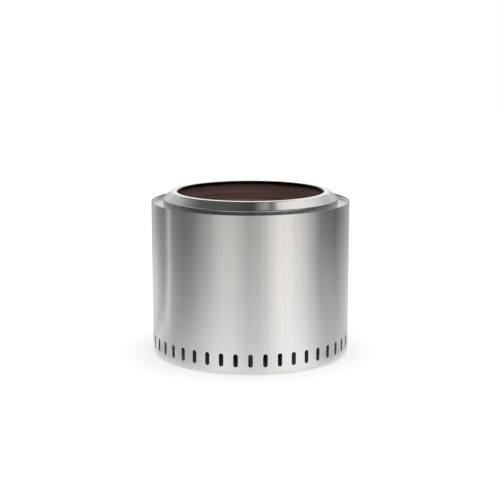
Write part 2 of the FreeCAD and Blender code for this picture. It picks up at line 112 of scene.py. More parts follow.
def apply_modifier(piece, kind, **settings):
    """Adds a modifier with these settings and applies it."""
    bpy.ops.object.select_all(action="DESELECT")
    piece.select_set(True)
    bpy.context.view_layer.objects.active = piece
    bpy.ops.object.modifier_add(type=kind)
    modifier = piece.modifiers[-1]
    for setting, value in settings.items():
        setattr(modifier, setting, value)
    bpy.ops.object.modifier_apply(modifier=modifier.name)


# %% [markdown]
# A modelled piece takes its size and place from the CAD piece that it stands for. A round piece
# needs only how near to the axis it comes, how far out it reaches, and its two heights.

# %% Measure the frame


def radii(node):
    """How near to the pit's axis a CAD node comes, and how far out it reaches."""
    spans = [vertex.co.xy.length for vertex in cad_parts[node].data.vertices]
    return min(spans), max(spans)


def heights(node):
    """The lowest and highest point of a CAD node."""
    low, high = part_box(node)
    return low.z, high.z


def report(piece):
    """Prints how many faces a piece has and how high it lies."""
    low = min(vertex.co.z for vertex in piece.data.vertices) / MM
    high = max(vertex.co.z for vertex in piece.data.vertices) / MM
    print(f"{piece.name}: {len(piece.data.polygons)} faces, {low:.1f} to {high:.1f} mm high")


print(f"The drum is {2 * radii('outer_wall')[1] / MM:.1f} mm across")

# %% [markdown]
# ## Bending and thickening sheet
#
# A bent sheet is drawn as the line through its middle, with sharp corners. Each corner point is
# then bevelled, which puts a round bend there. The bevel's width is the distance from the corner
# to where the bend starts, so it follows from the bend's radius and the angle of the corner.

# %% Draw and bend a line
BEND_STEPS = 6


def section(*points):
    """Turns (distance from the axis, height) points into places in front view."""
    return [Vector((across, 0, up)) for across, up in points]


def extrude(move):
    """Extrudes what is selected and moves it."""
    bpy.ops.mesh.extrude_region_move(TRANSFORM_OT_translate={"value": move})


def draw_line(places):
    """Draws a line through these places into the piece being edited."""
    bpy.ops.mesh.primitive_plane_add(size=TINY)
    bpy.ops.mesh.merge(type="CENTER")
    bpy.ops.transform.translate(value=places[0])
    for here, there in zip(places, places[1:]):
        extrude(there - here)


def bend_corners(piece, places, bends):
    """Rounds the inner corners of a line. Each bend is the radius of the line there."""
    for before, corner, after, bend in zip(places, places[1:], places[2:], bends):
        turn = (corner - before).angle(after - corner)
        start = bend * math.tan(turn / 2)
        pick(piece, lambda place: (place - corner).length < TINY)
        bpy.ops.mesh.bevel(affect="VERTICES", offset=start, segments=BEND_STEPS)


# %% [markdown]
# A round sheet is such a line turned once round the pit's axis. Solidify gives it its thickness
# to both sides of the line, and a last small bevel takes the sharpness off the cut edges, which
# is what catches the light on real sheet. The shading runs smoothly over the bends and stops at
# the edges, and Weighted Normal lets the large faces decide it beside the small ones.

# %% Turn, thicken and soften
EDGE_SOFTENING = 0.18 * MM
EDGE_STEPS = 2
SHARP_ANGLE = math.radians(50)
SMOOTH_ANGLE = math.radians(35)


def turn_line(piece, places, bends, steps):
    """Draws a line, bends its corners and turns it once round the pit's axis."""
    draw_line(places)
    bend_corners(piece, places, bends)
    bpy.ops.mesh.select_all(action="SELECT")
    bpy.ops.mesh.spin(steps=steps, angle=FULL_TURN, center=CENTRE, axis=AXIS)
    weld(piece)


def thicken(piece, sheet, side=0):
    """Gives sheet its thickness: to both sides, to the inside (-1) or to the outside (1)."""
    apply_modifier(piece, "SOLIDIFY", thickness=sheet, offset=side,
                   use_even_offset=True, use_quality_normals=True)


def turn_sheet(piece, places, inner_bends, sheet, steps):
    """A round piece of sheet, whose edges are still sharp."""
    turn_line(piece, places, [bend + sheet / 2 for bend in inner_bends], steps)
    thicken(piece, sheet)


def soften(piece):
    """Takes the sharpness off the edges, and smooths the shading between them."""
    apply_modifier(piece, "BEVEL", width=EDGE_SOFTENING, segments=EDGE_STEPS,
                   limit_method="ANGLE", angle_limit=SHARP_ANGLE)
    bpy.ops.object.shade_smooth_by_angle(angle=SMOOTH_ANGLE)
    apply_modifier(piece, "WEIGHTED_NORMAL", keep_sharp=True)
    report(piece)


def spin_sheet(name, places, inner_bends, sheet, steps):
    """A round piece of sheet, finished."""
    piece = blank(name)
    turn_sheet(piece, places, inner_bends, sheet, steps)
    soften(piece)
    return piece


# %% [markdown]
# ## Punching and rolling sheet
#
# The real drum starts as a flat strip. A punch makes the row of slots, and rollers bend the
# strip until its ends meet. The same order works here, and it puts clean rings of faces round
# every slot. Cutting the slots out of a finished cylinder would leave long slivers that show
# in a shiny wall.
#
# One panel of the strip is a frame of points with a hole in it, joined by a bridge of faces.
# The hole starts as a circle. Pulling its upper and lower half apart makes a round-ended slot.

# %% Punch a panel
PANEL_CUTS = 2


def pull_apart(piece, middle, axis, reach, stretch_by):
    """Pulls the two halves of a circle round middle apart along an axis, into a slot."""
    for side in (1, -1):
        pick(piece, lambda place: (place - middle).length < reach
             and side * (place - middle).dot(axis) > 0)
        bpy.ops.transform.translate(value=axis * side * stretch_by / 2)


def punch_panel(name, width, height, middle, hole_width, hole_height, across, up):
    """A flat upright panel with a hole. The frame has across and up faces along its sides."""
    panel = blank(name)
    centre = Vector((0, 0, middle))
    upright = (QUARTER_TURN, 0, 0)
    bpy.ops.mesh.primitive_grid_add(
        x_subdivisions=across, y_subdivisions=up, size=1, location=centre, rotation=upright,
    )
    bpy.ops.transform.resize(value=(width, 1, height), center_override=centre)
    pick(panel, lambda place: abs(place.x) < width / 2 - TINY
         and abs(place.z - middle) < height / 2 - TINY)
    bpy.ops.mesh.delete(type="VERT")
    bpy.ops.mesh.primitive_circle_add(
        vertices=2 * (across + up), radius=hole_width / 2, location=centre, rotation=upright,
    )
    pull_apart(panel, centre, Vector(AXIS), hole_width / 2 + TINY, hole_height - hole_width)
    bpy.ops.mesh.select_all(action="SELECT")
    bpy.ops.mesh.bridge_edge_loops(number_cuts=PANEL_CUTS, interpolation="LINEAR")
    return panel


# %% [markdown]
# The panel's level edges are drawn out to where the sheet ends. An array then repeats the panel,
# and a Simple Deform bend of a full turn rolls the strip up.

# %% Stretch the panel and roll the strip


def stretch(panel, *levels):
    """Extends a flat panel from its level edge to further heights, band by band."""
    for edge, new_edge in zip(levels, levels[1:]):
        pick(panel, lambda place: abs(place.z - edge) < TINY)
        extrude((0, 0, new_edge - edge))


def roll_strip(panel, count, width):
    """Repeats a panel and rolls the strip up, with a hole at the front and the seam behind."""
    bpy.ops.object.mode_set(mode="OBJECT")
    apply_modifier(panel, "ARRAY", count=count, use_relative_offset=False,
                   use_constant_offset=True, constant_offset_displace=(width, 0, 0),
                   use_merge_vertices=True, merge_threshold=TINY)
    bpy.ops.object.mode_set(mode="EDIT")
    bpy.ops.mesh.select_all(action="SELECT")
    bpy.ops.transform.translate(value=(-width * (count / 2 - 1), 0, 0))
    bpy.ops.object.mode_set(mode="OBJECT")
    apply_modifier(panel, "SIMPLE_DEFORM", deform_method="BEND", deform_axis="Z",
                   angle=FULL_TURN)
    bpy.ops.object.mode_set(mode="EDIT")
    bpy.ops.mesh.select_all(action="SELECT")
    radius = width * count / FULL_TURN
    bpy.ops.transform.translate(value=(0, -radius, 0))
    bpy.ops.mesh.remove_doubles(threshold=TINY)


# %% [markdown]
# A rolled sheet ends in an open ring of edges at its top and at its foot. A fold or a flange is
# made by carrying such a ring on in small steps, each one up or down and then in or out.

# %% Fold the ends over


def draw_ring(piece, radius, height, path):
    """Carries an open ring of edges on through further (radius, height) places."""
    pick(piece, lambda place: abs(place.z - height) < TINY
         and abs(place.xy.length - radius) < TINY)
    for new_radius, new_height in path:
        extrude((0, 0, new_height - height))
        share = new_radius / radius
        bpy.ops.transform.resize(value=(share, share, 1), center_override=CENTRE)
        radius = new_radius
        height = new_height


def round_bend(centre_radius, centre_height, bend, first, last, steps):
    """The (radius, height) places along a bend, from one angle to another, without the first."""
    turns = [first + (last - first) * number / steps for number in range(1, steps + 1)]
    return [(centre_radius + bend * math.cos(turn), centre_height + bend * math.sin(turn))
            for turn in turns]


# %% [markdown]
# ## The drum
#
# The outer wall is one rolled sheet. At the ground it turns in to a narrow foot flange, and at
# the top it is folded down over the upturned edge of the shelf, which leaves a slim flat rim with
# round corners. The slots are as many and as large as in the CAD wall, one of them at the front.

# %% Roll the outer wall
WALL_SHEET = 0.8 * MM
SLOT_COUNT = 44
SLOT_WIDTH = 10.8 * MM
SLOT_HEIGHT = 31.4 * MM
SLOT_MIDDLE = 34.3 * MM
SLOT_PANEL_HEIGHT = 42 * MM
PANEL_FACES_ACROSS = 8
PANEL_FACES_UP = 7
FOOT_BEND = 2.8 * MM
FOOT_FLANGE = 15 * MM
HEM_WIDTH = 2.8 * MM
HEM_CORNER = 0.9 * MM
HEM_DROP = 4.6 * MM
WALL_BANDS = (110 * MM, 180 * MM, 250 * MM, 320 * MM)

drum_radius = radii("outer_wall")[1]
rim_height = heights("outer_wall")[1]
panel_width = FULL_TURN / SLOT_COUNT * drum_radius
hem_top = rim_height - HEM_CORNER

outer_wall = punch_panel("outer_wall_rolled", panel_width, SLOT_PANEL_HEIGHT, SLOT_MIDDLE,
                         SLOT_WIDTH, SLOT_HEIGHT, PANEL_FACES_ACROSS, PANEL_FACES_UP)
panel_bottom = SLOT_MIDDLE - SLOT_PANEL_HEIGHT / 2
panel_top = SLOT_MIDDLE + SLOT_PANEL_HEIGHT / 2
stretch(outer_wall, panel_bottom, FOOT_BEND)
stretch(outer_wall, panel_top, *WALL_BANDS, hem_top)
roll_strip(outer_wall, SLOT_COUNT, panel_width)
hem_inner = drum_radius - HEM_WIDTH
hem = round_bend(drum_radius - HEM_CORNER, hem_top, HEM_CORNER, 0, QUARTER_TURN, BEND_STEPS)
hem += [(hem_inner + HEM_CORNER, rim_height)]
hem += round_bend(hem_inner + HEM_CORNER, hem_top, HEM_CORNER, QUARTER_TURN, math.pi, BEND_STEPS)
draw_ring(outer_wall, drum_radius, hem_top, hem + [(hem_inner, rim_height - HEM_DROP)])
foot = round_bend(drum_radius - FOOT_BEND, FOOT_BEND, FOOT_BEND, 0, -QUARTER_TURN, BEND_STEPS)
draw_ring(outer_wall, drum_radius, FOOT_BEND, foot + [(drum_radius - FOOT_FLANGE, 0)])
weld(outer_wall)
thicken(outer_wall, WALL_SHEET, side=-1)
soften(outer_wall)

# %% [markdown]
# ## The shelf between the walls
#
# A flat ring, seven millimetres below the rim. Its outer edge turns up inside the folded rim,
# and its inner edge turns down round the chamber wall.

# %% Spin the shelf
SHELF_SHEET = 1.0 * MM
SHELF_RECESS = 7.0 * MM
SHELF_BEND = 1.5 * MM
SHELF_EDGE_UNDER_HEM = 1.6 * MM
WIDE_STEPS = SLOT_COUNT * PANEL_FACES_ACROSS

shelf_inner, shelf_outer = radii("top_shelf")
shelf_foot = heights("top_shelf")[0]
shelf_top = rim_height - SHELF_RECESS
shelf_line = section(
    (shelf_inner + SHELF_SHEET / 2, shelf_foot),
    (shelf_inner + SHELF_SHEET / 2, shelf_top - SHELF_SHEET / 2),
    (shelf_outer - SHELF_SHEET / 2, shelf_top - SHELF_SHEET / 2),
    (shelf_outer - SHELF_SHEET / 2, rim_height - SHELF_EDGE_UNDER_HEM),
)
top_shelf = spin_sheet("top_shelf_spun", shelf_line, [SHELF_BEND] * 2, SHELF_SHEET, WIDE_STEPS)

# %% [markdown]
# ## The flame ring
#
# This crown is spun over a former on the real pit: a short lip into the mouth, a flat land, a
# sloping shoulder and an upright skirt that stands on the shelf. It is the piece that gives the
# pit its outline, so its three bends have the radii of the CAD ring. A collar under it drops
# into the chamber and keeps it centred.

# %% Spin the flame ring and its collar
RING_SHEET = 1.2 * MM
LIP_DROP = 8 * MM
LIP_BEND = 2 * MM
LAND_WIDTH = 15.8 * MM
LAND_BEND = 5.4 * MM
SKIRT_HEIGHT = 12.5 * MM
SKIRT_BEND = 2.8 * MM
COLLAR_SHEET = 0.8 * MM
COLLAR_BEND = 1.5 * MM

ring_inner, ring_outer = radii("flame_ring")
ring_foot, ring_top = heights("flame_ring")
land = ring_top - RING_SHEET / 2
skirt = ring_outer - RING_SHEET / 2
ring_line = section(
    (ring_inner + RING_SHEET / 2, ring_top - LIP_DROP),
    (ring_inner + RING_SHEET / 2, land),
    (ring_inner + LAND_WIDTH, land),
    (skirt, ring_foot + SKIRT_HEIGHT),
    (skirt, ring_foot),
)
flame_ring = spin_sheet("flame_ring_spun", ring_line, [LIP_BEND, LAND_BEND, SKIRT_BEND],
                        RING_SHEET, WIDE_STEPS)

collar_inner, collar_outer = radii("ring_collar")
collar_foot, collar_top = heights("ring_collar")
collar_line = section(
    (collar_inner, collar_top - COLLAR_SHEET / 2),
    (collar_outer - COLLAR_SHEET / 2, collar_top - COLLAR_SHEET / 2),
    (collar_outer - COLLAR_SHEET / 2, collar_foot),
)
ring_collar = spin_sheet("ring_collar_spun", collar_line, [COLLAR_BEND], COLLAR_SHEET, WIDE_STEPS)

# %% [markdown]
# ## The chamber wall
#
# The inner sheet is punched and rolled like the drum, from two strips: a lower one with upright
# inlets that let air in, and an upper one with the round jet holes that let out the hot air.
# A round hole is a slot whose height is its width, so the same punch makes both. The strips
# have matching points where they meet and are welded into one sheet.

# %% Punch and roll the strip with the jet holes
LINER_SHEET = 0.8 * MM
LINER_BEND = 1.4 * MM
JET_DIAMETER = 8 * MM
JET_MIDDLE = 335 * MM
JET_PANEL_HEIGHT = 21 * MM

liner_inner, flange_radius = radii("chamber_wall")
liner_foot, liner_top = heights("chamber_wall")
liner_radius = liner_inner + LINER_SHEET
jet_width = FULL_TURN * liner_radius / SLOT_COUNT
liner_bend_start = liner_top - LINER_SHEET - LINER_BEND

jets = punch_panel("jet_strip", jet_width, JET_PANEL_HEIGHT, JET_MIDDLE, JET_DIAMETER,
                   JET_DIAMETER, PANEL_FACES_ACROSS, PANEL_FACES_UP)
jets_foot = JET_MIDDLE - JET_PANEL_HEIGHT / 2
stretch(jets, JET_MIDDLE + JET_PANEL_HEIGHT / 2, liner_bend_start)
roll_strip(jets, SLOT_COUNT, jet_width)
bpy.ops.object.mode_set(mode="OBJECT")
print(f"{jets.name}: {SLOT_COUNT} jet holes")

# %% [markdown]
# The lower strip has half as many panels, each with twice as many faces across. The joined sheet
# ends in a flange at its top, which turns outwards and lies on the shelf.

# %% Punch the lower strip and join the two
INLET_COUNT = SLOT_COUNT // 2
INLET_WIDTH = 9 * MM
INLET_HEIGHT = 18 * MM
INLET_MIDDLE = 80 * MM
INLET_PANEL_HEIGHT = 34 * MM
LINER_BANDS = (160 * MM, 240 * MM)

inlet_width = FULL_TURN * liner_radius / INLET_COUNT
chamber_wall = punch_panel("chamber_wall_rolled", inlet_width, INLET_PANEL_HEIGHT, INLET_MIDDLE,
                           INLET_WIDTH, INLET_HEIGHT, PANEL_FACES_ACROSS * 2, PANEL_FACES_UP)
stretch(chamber_wall, INLET_MIDDLE - INLET_PANEL_HEIGHT / 2, liner_foot)
inlets_top = INLET_MIDDLE + INLET_PANEL_HEIGHT / 2
stretch(chamber_wall, inlets_top, *LINER_BANDS, jets_foot)
roll_strip(chamber_wall, INLET_COUNT, inlet_width)
bpy.ops.object.mode_set(mode="OBJECT")
jets.select_set(True)
bpy.ops.object.join()
bpy.ops.object.mode_set(mode="EDIT")
flange_bend = round_bend(liner_radius + LINER_BEND, liner_bend_start, LINER_BEND,
                         math.pi, QUARTER_TURN, BEND_STEPS)
draw_ring(chamber_wall, liner_radius, liner_bend_start,
          flange_bend + [(flange_radius, liner_top - LINER_SHEET)])
weld(chamber_wall)
thicken(chamber_wall, LINER_SHEET, side=1)
soften(chamber_wall)

# %% [markdown]
# ## The bottom plate and the chamber floor
#
# The bottom plate is pressed: a margin that lies on the drum's foot flange, a raised floor, and
# a round bead that stiffens it. Its line starts on the axis, and merging doubles closes it there.

# %% Spin the bottom plate
INNER_STEPS = 176
PLATE_SHEET = 1.0 * MM
PLATE_BEND = 2.4 * MM
PLATE_MARGIN = 12 * MM
PLATE_STEP = 6 * MM
BEAD_RADIUS = 122 * MM
BEAD_WIDTH = 24 * MM
BEAD_HEIGHT = 4 * MM
BEAD_SLOPE = 6 * MM

plate_edge = radii("bottom_plate")[1]
plate_foot, plate_top = heights("bottom_plate")
raised = plate_top - BEAD_HEIGHT - PLATE_SHEET / 2
margin = plate_foot + PLATE_SHEET / 2
bead_inner = BEAD_RADIUS - BEAD_WIDTH
plate_line = section(
    (0, raised),
    (bead_inner, raised),
    (bead_inner + BEAD_SLOPE, raised + BEAD_HEIGHT),
    (BEAD_RADIUS - BEAD_SLOPE, raised + BEAD_HEIGHT),
    (BEAD_RADIUS, raised),
    (plate_edge - PLATE_MARGIN - PLATE_STEP, raised),
    (plate_edge - PLATE_MARGIN, margin),
    (plate_edge, margin),
)
plate_bends = [PLATE_BEND] * (len(plate_line) - 2)
bottom_plate = spin_sheet("bottom_plate_pressed", plate_line, plate_bends, PLATE_SHEET,
                          INNER_STEPS)

# %% [markdown]
# The chamber floor is a flat ring. Its inner edge turns down round the ash pan, and its outer
# edge turns up along the chamber wall.

# %% Spin the chamber floor
FLOOR_SHEET = 1.0 * MM
FLOOR_BEND = 1.5 * MM
FLOOR_RIM = 11 * MM

floor_inner, floor_outer = radii("chamber_floor")
floor_foot, floor_rim = heights("chamber_floor")
floor_deck = floor_rim - FLOOR_RIM - FLOOR_SHEET / 2
floor_line = section(
    (floor_inner + FLOOR_SHEET / 2, floor_foot),
    (floor_inner + FLOOR_SHEET / 2, floor_deck),
    (floor_outer - FLOOR_SHEET / 2, floor_deck),
    (floor_outer - FLOOR_SHEET / 2, floor_rim),
)
chamber_floor = spin_sheet("chamber_floor_spun", floor_line, [FLOOR_BEND] * 2, FLOOR_SHEET,
                           INNER_STEPS)

# %% [markdown]
# ## The ash pan
#
# A shallow dish with a soft corner and a flat rim, which hangs in the hole of the chamber floor.

# %% Spin the ash pan
PAN_SHEET = 1.0 * MM
PAN_CORNER_BEND = 7.5 * MM
PAN_RIM_BEND = 1.5 * MM
PAN_TAPER = 7 * MM
PAN_RIM_WIDTH = 10 * MM

pan_rim = radii("ash_pan")[1]
pan_foot, pan_top = heights("ash_pan")
pan_wall = pan_rim - PAN_RIM_WIDTH
pan_line = section(
    (0, pan_foot + PAN_SHEET / 2),
    (pan_wall - PAN_TAPER, pan_foot + PAN_SHEET / 2),
    (pan_wall, pan_top - PAN_SHEET / 2),
    (pan_rim, pan_top - PAN_SHEET / 2),
)
ash_pan = spin_sheet("ash_pan_spun", pan_line, [PAN_CORNER_BEND, PAN_RIM_BEND], PAN_SHEET,
                     INNER_STEPS)

# %% [markdown]
# ## The grate
#
# A disc with a rim turned down, thicker than the other sheets, because it carries the load.

# %% Spin the grate
GRATE_SHEET = 2 * MM
GRATE_BEND = 3 * MM

grate_radius = radii("fire_grate")[1]
grate_foot, grate_top = heights("fire_grate")
grate_line = section(
    (0, grate_top - GRATE_SHEET / 2),
    (grate_radius - GRATE_SHEET / 2, grate_top - GRATE_SHEET / 2),
    (grate_radius - GRATE_SHEET / 2, grate_foot),
)
fire_grate = blank("fire_grate_cut")
turn_sheet(fire_grate, grate_line, [GRATE_BEND], GRATE_SHEET, INNER_STEPS)
print(f"{fire_grate.name}: a disc of {grate_radius / MM:.1f} mm radius, still without slots")

# %% [markdown]
# The disc has three rows of slots. One cutter per row is made like the drum's slots, as a circle
# pulled apart, and copied round the axis. A flat disc can be cut with a Boolean and keep clean
# shading, because the cut has no curve to disturb.

# %% Cut the grate's slots
GRATE_SLOT_WIDTH = 8 * MM
GRATE_SLOT_WEB = 10 * MM
GRATE_SLOTS_START = 66 * MM
GRATE_SLOTS_END = 160 * MM
GRATE_SLOT_COUNTS = (12, 20, 28)
CUTTER_SIDES = 24
CUTTER_DEPTH = 12 * MM

cutters = blank("grate_slot_cutters")
row_count = len(GRATE_SLOT_COUNTS)
row_length = (GRATE_SLOTS_END - GRATE_SLOTS_START - GRATE_SLOT_WEB * (row_count - 1)) / row_count
for row, slot_count in enumerate(GRATE_SLOT_COUNTS):
    row_start = GRATE_SLOTS_START + (row_length + GRATE_SLOT_WEB) * row
    middle = Vector((row_start + row_length / 2, 0, grate_top - CUTTER_DEPTH / 2))
    bpy.ops.mesh.select_all(action="DESELECT")
    bpy.ops.mesh.primitive_circle_add(
        vertices=CUTTER_SIDES, radius=GRATE_SLOT_WIDTH / 2, location=middle, fill_type="NGON",
    )
    pull_apart(cutters, middle, Vector((1, 0, 0)), GRATE_SLOT_WIDTH / 2 + TINY,
               row_length - GRATE_SLOT_WIDTH)
    pick(cutters, lambda place: place.xy.length > row_start - TINY)
    extrude((0, 0, CUTTER_DEPTH))
    pick(cutters, lambda place: place.xy.length > row_start - TINY)
    bpy.ops.mesh.spin(steps=slot_count - 1, angle=FULL_TURN * (slot_count - 1) / slot_count,
                      center=CENTRE, axis=AXIS, dupli=True)
weld(cutters)
apply_modifier(fire_grate, "BOOLEAN", object=cutters, operation="DIFFERENCE", solver="EXACT")
soften(fire_grate)
bpy.data.objects.remove(cutters)

# %% [markdown]
# ## The wire handles
#
# Both handles are bails of round wire, bent at four corners, whose ends turn out into the ears.
# The wire's line is drawn where it lies at rest, its corners are bent like those of the sheets,
# and as a curve it gets its round section.

# %% Bend a wire
EAR_SHEET = 1.5 * MM
WIRE_EAR_GAP = 1.2 * MM
WIRE_STUB = 2.5 * MM
GRIP_BEND = 14 * MM
REST_GAP = 0.3 * MM
WIRE_ROUNDNESS = 6


def bend_wire(name, wire, spread, reach, deck, pivot_height):
    """A bail that lies down towards the front, its grip just above the deck."""
    side = spread / 2 - EAR_SHEET / 2 - WIRE_EAR_GAP - wire
    end = spread / 2 + EAR_SHEET / 2 + WIRE_STUB
    drop = pivot_height - wire / 2 - REST_GAP
    front = -math.sqrt(reach ** 2 - drop ** 2)
    pivot = deck + pivot_height
    places = [
        Vector((end, 0, pivot)),
        Vector((side, 0, pivot)),
        Vector((side, front, pivot - drop)),
        Vector((-side, front, pivot - drop)),
        Vector((-side, 0, pivot)),
        Vector((-end, 0, pivot)),
    ]
    piece = blank(name)
    draw_line(places)
    bend_corners(piece, places, [wire, GRIP_BEND, GRIP_BEND, wire])
    bpy.ops.object.mode_set(mode="OBJECT")
    bpy.ops.object.convert(target="CURVE")
    piece.data.bevel_depth = wire / 2
    piece.data.bevel_resolution = WIRE_ROUNDNESS
    piece.data.use_fill_caps = True
    bpy.ops.object.convert(target="MESH")
    soften(piece)
    return piece


# %% [markdown]
# The grate's bail is the larger of the two. The pan's lies in the dish, under the grate.

# %% The two bails
GRATE_WIRE = 5 * MM
GRATE_EAR_SPREAD = 92 * MM
GRATE_PIVOT_HEIGHT = 7.5 * MM
GRATE_HANDLE_REACH = 60 * MM
PAN_WIRE = 4 * MM
PAN_EAR_SPREAD = 62 * MM
PAN_PIVOT_HEIGHT = 6.5 * MM
PAN_HANDLE_REACH = 34 * MM

grate_handle = bend_wire("grate_handle_bail", GRATE_WIRE, GRATE_EAR_SPREAD, GRATE_HANDLE_REACH,
                         grate_top, GRATE_PIVOT_HEIGHT)
pan_handle = bend_wire("pan_handle_bail", PAN_WIRE, PAN_EAR_SPREAD, PAN_HANDLE_REACH,
                       pan_foot + PAN_SHEET, PAN_PIVOT_HEIGHT)

# %% [markdown]
# ## Finishes
#
# A finish is a node tree. `connect` sets a constant on the input's own socket or links another
# node to it, so that one call of `add` makes a node with all its inputs. The functions after it
# work on numbers: they take a value from one range to another, or do a sum.

# %% Nodes for numbers


def connect(tree, socket, value):
    """Links an output to a socket, or sets the socket's constant."""
    if isinstance(value, bpy.types.NodeSocket):
        tree.links.new(value, socket)
    else:
        socket.default_value = value


def add(tree, kind, inputs=(), **settings):
    """Adds a node with these inputs and settings."""
    node = tree.nodes.new(kind)
    for setting, value in settings.items():
        setattr(node, setting, value)
    for name, value in dict(inputs).items():
        connect(tree, node.inputs[name], value)
    return node


def share_between(tree, value, start, end, low, high):
    """Takes a value from its range to another range, and holds it at the ends."""
    node = add(tree, "ShaderNodeMapRange",
               {"Value": value, "From Min": start, "From Max": end, "To Min": low, "To Max": high})
    return node.outputs["Result"]


def spread_to(tree, factor, low, high):
    """Spreads a factor over the range from low to high."""
    return share_between(tree, factor, 0, 1, low, high)


def calculate(tree, operation, *values):
    """One sum on numbers."""
    node = add(tree, "ShaderNodeMath", operation=operation)
    for number, value in enumerate(values):
        connect(tree, node.inputs[number], value)
    return node.outputs["Value"]


# %% [markdown]
# Two nodes work on colours. A Mix node blends two of them, and a colour ramp gives each value of
# a pattern its own. The Mix node has sockets of the same names for numbers and for colours, so
# those for colours are found by their number.

# %% Nodes for colours
MIX_COLOUR_INPUTS = (0, 6, 7)
MIX_COLOUR_OUTPUT = 2


def mix_shades(tree, factor, first, second, blend="MIX"):
    """Blends two colours."""
    node = add(tree, "ShaderNodeMix", data_type="RGBA", blend_type=blend)
    for socket, value in zip(MIX_COLOUR_INPUTS, (factor, first, second)):
        connect(tree, node.inputs[socket], value)
    return node.outputs[MIX_COLOUR_OUTPUT]


def shade_between(tree, factor, positions, colours):
    """A colour ramp with these colours at these positions."""
    node = add(tree, "ShaderNodeValToRGB", {"Fac": factor})
    elements = node.color_ramp.elements
    while len(elements) < len(positions):
        elements.new(positions[0])
    for element, position, colour in zip(elements, positions, colours):
        element.position = position
        element.color = (*colour, 1)
    return node.outputs["Color"]


# %% [markdown]
# Every pattern starts from where a point is on the pit. The pieces keep their place in their
# mesh, so Object coordinates are metres from the pit's origin, on the ground below its middle.

# %% Where a point is


def object_place(tree):
    """The place of a point on the pit."""
    return add(tree, "ShaderNodeTexCoord").outputs["Object"]


def height_above_ground(tree):
    """How high a point is."""
    return add(tree, "ShaderNodeSeparateXYZ", {"Vector": object_place(tree)}).outputs["Z"]


def level_place(tree):
    """The place as seen from above."""
    node = add(tree, "ShaderNodeVectorMath", {0: object_place(tree), 1: (1, 1, 0)},
               operation="MULTIPLY")
    return node.outputs[0]


def distance_from_axis(tree):
    """How far out a point is."""
    return add(tree, "ShaderNodeVectorMath", {0: level_place(tree)},
               operation="LENGTH").outputs["Value"]


def noise_at(tree, place, scale, detail=3.0, roughness=0.5):
    """Noise between 0 and 1 at a place."""
    return add(tree, "ShaderNodeTexNoise",
               {"Vector": place, "Scale": scale, "Detail": detail,
                "Roughness": roughness}).outputs["Fac"]


# %% [markdown]
# A finish starts as a plain material. A pattern can then vary how rough it is, and stand up from
# the surface as fine ridges.

# %% Start a finish


def new_finish(name, **constants):
    """A material whose shader has these constants on its own sockets."""
    finish = bpy.data.materials.new(name)
    finish.use_nodes = True
    tree = finish.node_tree
    shader = tree.nodes["Principled BSDF"]
    for socket, value in constants.items():
        shader.inputs[socket.replace("_", " ")].default_value = value
    print("Finish:", name)
    return finish, tree, shader


def roughen(tree, shader, pattern, rough, spread):
    """Varies the roughness with a pattern, by this share of it to both sides."""
    connect(tree, shader.inputs["Roughness"],
            spread_to(tree, pattern, rough * (1 - spread), rough * (1 + spread)))


def raise_ridges(tree, shader, pattern, strength, height):
    """Lets a pattern stand up from the surface."""
    ridges = add(tree, "ShaderNodeBump",
                 {"Height": pattern, "Strength": strength, "Distance": height})
    connect(tree, shader.inputs["Normal"], ridges.outputs["Normal"])


# %% [markdown]
# Brushed and spun steel is scratched in one direction, round the axis. Two things come from
# that. Fine lines run round the piece, and a reflection is smeared across them, up and down,
# while it stays narrow from side to side. The lines are a noise that changes slowly along the
# way round and fast along the axis and the radius. On the way round, the shade also varies in
# soft fans, which are painted highlights: the fans of light that turned metal shows under a
# lamp, drawn into its colour.

# %% Lines and fans
GRAIN_ALONG = 4.0
FINE_GRAIN = 2600.0
COARSE_GRAIN = 420.0
GRAIN_DETAIL = 3.0
GRAIN_ROUGHNESS = 0.6
FANS_ROUND = 26.0


def turned_grain(tree, fineness):
    """Noise drawn out into lines that run round the pit's axis."""
    across = calculate(tree, "MULTIPLY", distance_from_axis(tree), fineness)
    drawn_out = add(tree, "ShaderNodeVectorMath",
                    {0: object_place(tree), 1: (GRAIN_ALONG, GRAIN_ALONG, fineness)},
                    operation="MULTIPLY")
    noise = add(tree, "ShaderNodeTexNoise",
                {"Vector": drawn_out.outputs[0], "W": across, "Scale": 1.0,
                 "Detail": GRAIN_DETAIL, "Roughness": GRAIN_ROUGHNESS}, noise_dimensions="4D")
    return noise.outputs["Fac"]


def painted_highlight_fans(tree):
    """Painted highlights in fans: noise that varies only on the way round, as light does in turned
    metal.
    """
    outwards = add(tree, "ShaderNodeVectorMath", {0: level_place(tree)}, operation="NORMALIZE")
    return noise_at(tree, outwards.outputs[0], FANS_ROUND)


# %% [markdown]
# The coarse lines and the painted highlight fans together set the shade of the steel and how
# rough it is. The finest lines only stand up as ridges. The smear is the shader's anisotropy,
# with a tangent that runs round Z and a quarter turn of rotation.

# %% Steel with a turned grain
FANS_SHARE = 0.5
SHADE_SPAN = (0.3, 0.7)
TURNED_SPREAD = 0.2
GRAIN_HEIGHT = 0.05 * MM
SMEAR_TURN = 0.25


def turned_steel(name, dark, light, rough, smear, bump, metallic=1.0):
    """Metal with a turned grain, which varies its shade, roughness and surface, plus painted
    highlights.
    """
    finish, tree, shader = new_finish(name, Metallic=metallic, Anisotropic=smear,
                                      Anisotropic_Rotation=SMEAR_TURN)
    # The fans in this pattern are painted highlights. Mixed with the coarse grain, they set the
    # colour and also the roughness.
    pattern = add(tree, "ShaderNodeMix",
                  {"Factor": FANS_SHARE, "A": turned_grain(tree, COARSE_GRAIN),
                   "B": painted_highlight_fans(tree)}).outputs["Result"]
    connect(tree, shader.inputs["Base Color"],
            shade_between(tree, pattern, SHADE_SPAN, (dark, light)))
    roughen(tree, shader, pattern, rough, TURNED_SPREAD)
    raise_ridges(tree, shader, turned_grain(tree, FINE_GRAIN), bump, GRAIN_HEIGHT)
    round_axis = add(tree, "ShaderNodeTangent", direction_type="RADIAL", axis="Z")
    connect(tree, shader.inputs["Tangent"], round_axis.outputs["Tangent"])
    return finish
